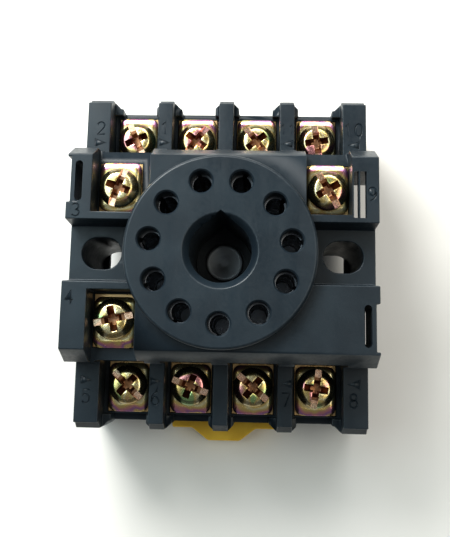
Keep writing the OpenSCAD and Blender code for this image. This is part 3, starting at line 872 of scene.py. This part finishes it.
def reach_of_plate(c, s):
    """Distance from the clamp's hole to the plate's edge in a direction, found by halving."""
    low, high = CLAMP_HOLE, 6.0
    for _ in range(30):
        mid = (low + high) / 2
        px, py = mid * c, mid * s - CLAMP_SHIFT
        inside = math.hypot(px, py) <= rounded_reach(math.atan2(py, px), CLAMP_HALF, CLAMP_CORNER)
        low, high = (mid, high) if inside else (low, mid)
    return low


def clamp_height(px, py):
    """Height of the clamp's upper face at a place from the plate's centre."""
    side = abs(px) / CLAMP_HALF[0]
    end = abs(py) / CLAMP_HALF[1]
    fall = 0.3 * max(0.0, (side - 0.78) / 0.22) ** 1.6 + 0.3 * max(0.0, (end - 0.72) / 0.28) ** 1.5
    lift = 0.0
    if py > RIDGE_START:
        wave = 0.5 + 0.5 * math.cos(2 * math.pi * (py - RIDGE_START) / RIDGE_PITCH)
        lift = -RIDGE_DEPTH * wave * min(1.0, 2.2 * (1 - side))
    return CLAMP_T - min(fall, 0.38) + lift


def clamp_mesh(way):
    """A pressed square washer, drawn about its hole, with its wire's end towards +Y or, for way -1, -Y.

    It is flat round the hole, falls to the rim over a shoulder, and has ridges at the wire's end.
    """
    bm = bmesh.new()
    sides, steps = 72, 12
    tops, unders = [], []
    for k in range(sides):
        angle = 2 * math.pi * k / sides
        c, s = math.cos(angle), math.sin(angle)
        edge = reach_of_plate(c, s)
        top, under = [], []
        for j in range(steps + 1):
            t = j / steps
            r = CLAMP_HOLE + (edge - CLAMP_HOLE) * t
            x, y = r * c, r * s
            z = clamp_height(x, y - CLAMP_SHIFT)
            if j == 0:
                z -= 0.06
            top.append(bm.verts.new((x, y, z)))
            under.append(bm.verts.new((x, y, max(0.0, z - SHEET_T) if t < 0.97 else 0.12)))
        tops.append(top)
        unders.append(under)
    for k in range(sides):
        a, b = k, (k + 1) % sides
        for j in range(steps):
            bm.faces.new((tops[a][j], tops[a][j + 1], tops[b][j + 1], tops[b][j]))
            bm.faces.new((unders[a][j], unders[b][j], unders[b][j + 1], unders[a][j + 1]))
        bm.faces.new((tops[a][0], tops[b][0], unders[b][0], unders[a][0]))
        bm.faces.new((tops[a][-1], unders[a][-1], unders[b][-1], tops[b][-1]))
    bmesh.ops.recalc_face_normals(bm, faces=bm.faces)
    round_edges(bm, CLAMP_ROUND, least_angle=50.0)
    if way < 0:
        bmesh.ops.scale(bm, vec=(1, -1, 1), verts=bm.verts)
        bmesh.ops.reverse_faces(bm, faces=bm.faces)
    return bm


def build_clamps():
    """The eleven clamp plates. A plate's longer side from its screw is the wire's end."""
    for n in TERMINALS:
        low, high = box_mm(f"clamp_{n}")
        screw_low, screw_high = box_mm(f"screw_{n}")
        hole = (screw_low + screw_high) / 2
        way = 1 if (low.y + high.y) / 2 > hole.y else -1
        finish_piece(
            f"clamp_{n}_pressed", clamp_mesh(way), clamp_metal, f"clamp_{n}_body", [f"clamp_{n}"],
            seed=20.0 + n, angle=45.0, weighted=False, at=Vector((hole.x, hole.y, low.z)),
        )


# ---------------------------------------------------------------- contacts, rivet and spring

CONTACT_ROUND = 0.08
SLEEVE_REACH = 1.85


def build_contacts():
    """The contact strips, with their sleeves down the pin holes marked as hollow for painted shade."""
    for n in TERMINALS:
        bm = round_edges(copy_of(f"contact_{n}"), CONTACT_ROUND)
        turn = math.radians(90 + (n - 0.5) * 360 / len(TERMINALS))
        pin = Vector((PIN_CIRCLE_R * math.cos(turn), PIN_CIRCLE_R * math.sin(turn), 0.0)) + AXIS
        hollow = bm.faces.layers.float.new("hollow")
        for f in bm.faces:
            middle = f.calc_center_median()
            if math.hypot(middle.x - pin.x, middle.y - pin.y) < SLEEVE_REACH:
                f[hollow] = 1.0
        finish_piece(
            f"contact_{n}_strip", bm, contact_metal, "base", [f"contact_{n}"], seed=40.0 + n
        )


def build_rivet():
    """The rivet: a flared foot, a plain shank, and a head with a shallow dish and a centre mark."""
    low, high = box_mm("centre_rivet")
    top = high.z - low.z
    bm = lathe([
        (0, 0.0), (1.5, 0.0), (1.62, 0.06), (2.1, 0.06), (2.26, 0.16), (2.3, 0.3), (2.3, 0.7), (1.4, 0.7),
        (1.4, top - 0.6), (2.6, top - 0.6), (2.72, top - 0.52), (2.75, top - 0.4), (2.75, top - 0.16),
        (2.7, top - 0.06), (2.58, top), (2.2, top), (2.12, top - 0.04), (0.9, top - 0.04),
        (0.8, top - 0.1), (0.3, top - 0.1), (0, top - 0.12),
    ])
    finish_piece(
        "centre_rivet_turned", bm, rivet_metal, "base", ["centre_rivet"], seed=60.0,
        at=Vector((AXIS.x, AXIS.y, low.z)),
    )


def build_spring():
    """A compression spring whose end turns nearly close on their neighbours, and which follows the latch."""
    low, high = box_mm("latch_spring")
    wire = 0.17
    coil_r = (high.x - low.x) / 2 - wire
    turns, per_turn, sides = 7, 36, 14
    flat_turns = 0.8  # at each end
    closed = 2 * wire * 0.98  # rise of those turns, which nearly touch the next
    y0, y1 = low.y + wire, high.y - wire
    centre = (low + high) / 2
    total = turns * per_turn
    bm = bmesh.new()
    rings = []
    for i in range(total + 1):
        t = i / total
        ease = min(1.0, max(0.0, (t * turns - flat_turns) / (turns - 2 * flat_turns)))
        y = y0 + closed * min(1.0, t * turns / flat_turns) + (y1 - y0 - 2 * closed) * ease
        y += closed * max(0.0, (t * turns - turns + flat_turns) / flat_turns)
        a = 2 * math.pi * t * turns
        ring = []
        for j in range(sides):
            b = 2 * math.pi * j / sides
            r = coil_r + wire * math.cos(b)
            x, z = centre.x + r * math.cos(a), centre.z + r * math.sin(a)
            ring.append(bm.verts.new((x, y + wire * math.sin(b), z)))
        rings.append(ring)
    for a, b in zip(rings, rings[1:]):
        for j in range(sides):
            k = (j + 1) % sides
            bm.faces.new((a[j], a[k], b[k], b[j]))
    bm.faces.new(rings[0][::-1])
    bm.faces.new(rings[-1])
    piece = finish_piece(
        "latch_spring_coil", bm, spring_metal, None, ["latch_spring"],
        seed=61.0, weighted=False,
    )
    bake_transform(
        piece, "base", "latch",
        start=(centre.x * MM, y0 * MM, centre.z * MM), end=(centre.x * MM, y1 * MM, centre.z * MM),
    )


build_housing()
build_rear_cover()
build_latch()
build_screws()
build_clamps()
build_contacts()
build_rivet()
build_spring()


# ---------------------------------------------------------------- floor, light and camera

FLOOR_GREY = (0.84, 0.83, 0.8)
FLOOR_PALE = (0.86, 0.85, 0.825)
FLOOR_HALF = 1.5  # in metres
FLOOR_DROP = 0.00005  # keeps the floor clear of the feet
WARM_WHITE = (1.0, 0.985, 0.95)


def build_floor():
    """A plain pale table top with a faint paper-like mottle."""
    made, tree, shader = new_material("floor_pale")
    coords = node_of(tree, "ShaderNodeTexCoord").outputs["Object"]
    mottle = noise_of(tree, coords, 60.0, 3.0, 0.5)
    base = mixed(tree, ramp(tree, mottle, 0.3, 0.7), FLOOR_GREY, FLOOR_PALE)
    tree.links.new(base, shader.inputs["Base Color"])
    shader.inputs["Roughness"].default_value = 0.7
    shader.inputs["Specular IOR Level"].default_value = 0.2
    bm = bmesh.new()
    bmesh.ops.create_grid(bm, x_segments=8, y_segments=8, size=FLOOR_HALF)
    mesh = bpy.data.meshes.new("floor")
    bm.to_mesh(mesh)
    bm.free()
    mesh.materials.append(made)
    floor = bpy.data.objects.new("floor", mesh)
    floor.location = (0, 0, -FLOOR_DROP)
    scene.collection.objects.link(floor)


def build_light(name, place_mm, target_mm, size_mm, power, colour):
    """A round area light that faces a target."""
    lamp = bpy.data.lights.new(name, "AREA")
    lamp.shape = "DISK"
    lamp.size = size_mm * MM
    lamp.energy = power
    lamp.color = colour
    o = bpy.data.objects.new(name, lamp)
    place, target = Vector(place_mm) * MM, Vector(target_mm) * MM
    o.location = place
    o.rotation_mode = "QUATERNION"
    o.rotation_quaternion = (target - place).to_track_quat("-Z", "Y")
    scene.collection.objects.link(o)


def build_world():
    """A dim, even, faintly blue room light."""
    world = bpy.data.worlds.new("studio")
    world.use_nodes = True
    tree = world.node_tree
    tree.nodes["Background"].inputs["Color"].default_value = (0.93, 0.97, 1.0, 1.0)
    tree.nodes["Background"].inputs["Strength"].default_value = 0.19
    scene.world = world


def build_camera():
    """The photographer's camera, above the socket and a little to the south."""
    place = Vector((4.883, -12.646 + AXIS.y, 138.447)) * MM
    look = Vector((-0.0394, 0.1689, -0.9849)).normalized()
    up = Vector((-0.0143, 0.9854, 0.1695))
    up = (up - up.dot(look) * look).normalized()
    side = look.cross(up)
    data = bpy.data.cameras.new("camera")
    data.sensor_width = 36.0
    data.lens = 56.2
    data.shift_y = -0.118
    data.clip_start, data.clip_end = 0.005, 10.0
    o = bpy.data.objects.new("camera", data)
    o.matrix_world = Matrix((
        (side.x, up.x, -look.x, place.x),
        (side.y, up.y, -look.y, place.y),
        (side.z, up.z, -look.z, place.z),
        (0, 0, 0, 1),
    ))
    scene.collection.objects.link(o)
    scene.camera = o


build_floor()
build_light("key", (-110, 170, 175), (-5, 10, 0), 140, 0.8, WARM_WHITE)
build_light("left", (-155, 70, 270), (0, 0, 0), 230, 0.32, (0.8, 0.97, 1.0))
build_light("back", (60, 330, 260), (0, 0, 0), 320, 0.8, WARM_WHITE)
build_light("right", (170, 10, 290), (0, 0, 0), 220, 0.24, (1.0, 0.95, 0.82))
build_world()
build_camera()
scene.view_settings.view_transform = "Standard"
scene.view_settings.look = "Medium High Contrast"
scene.view_settings.exposure = -0.08
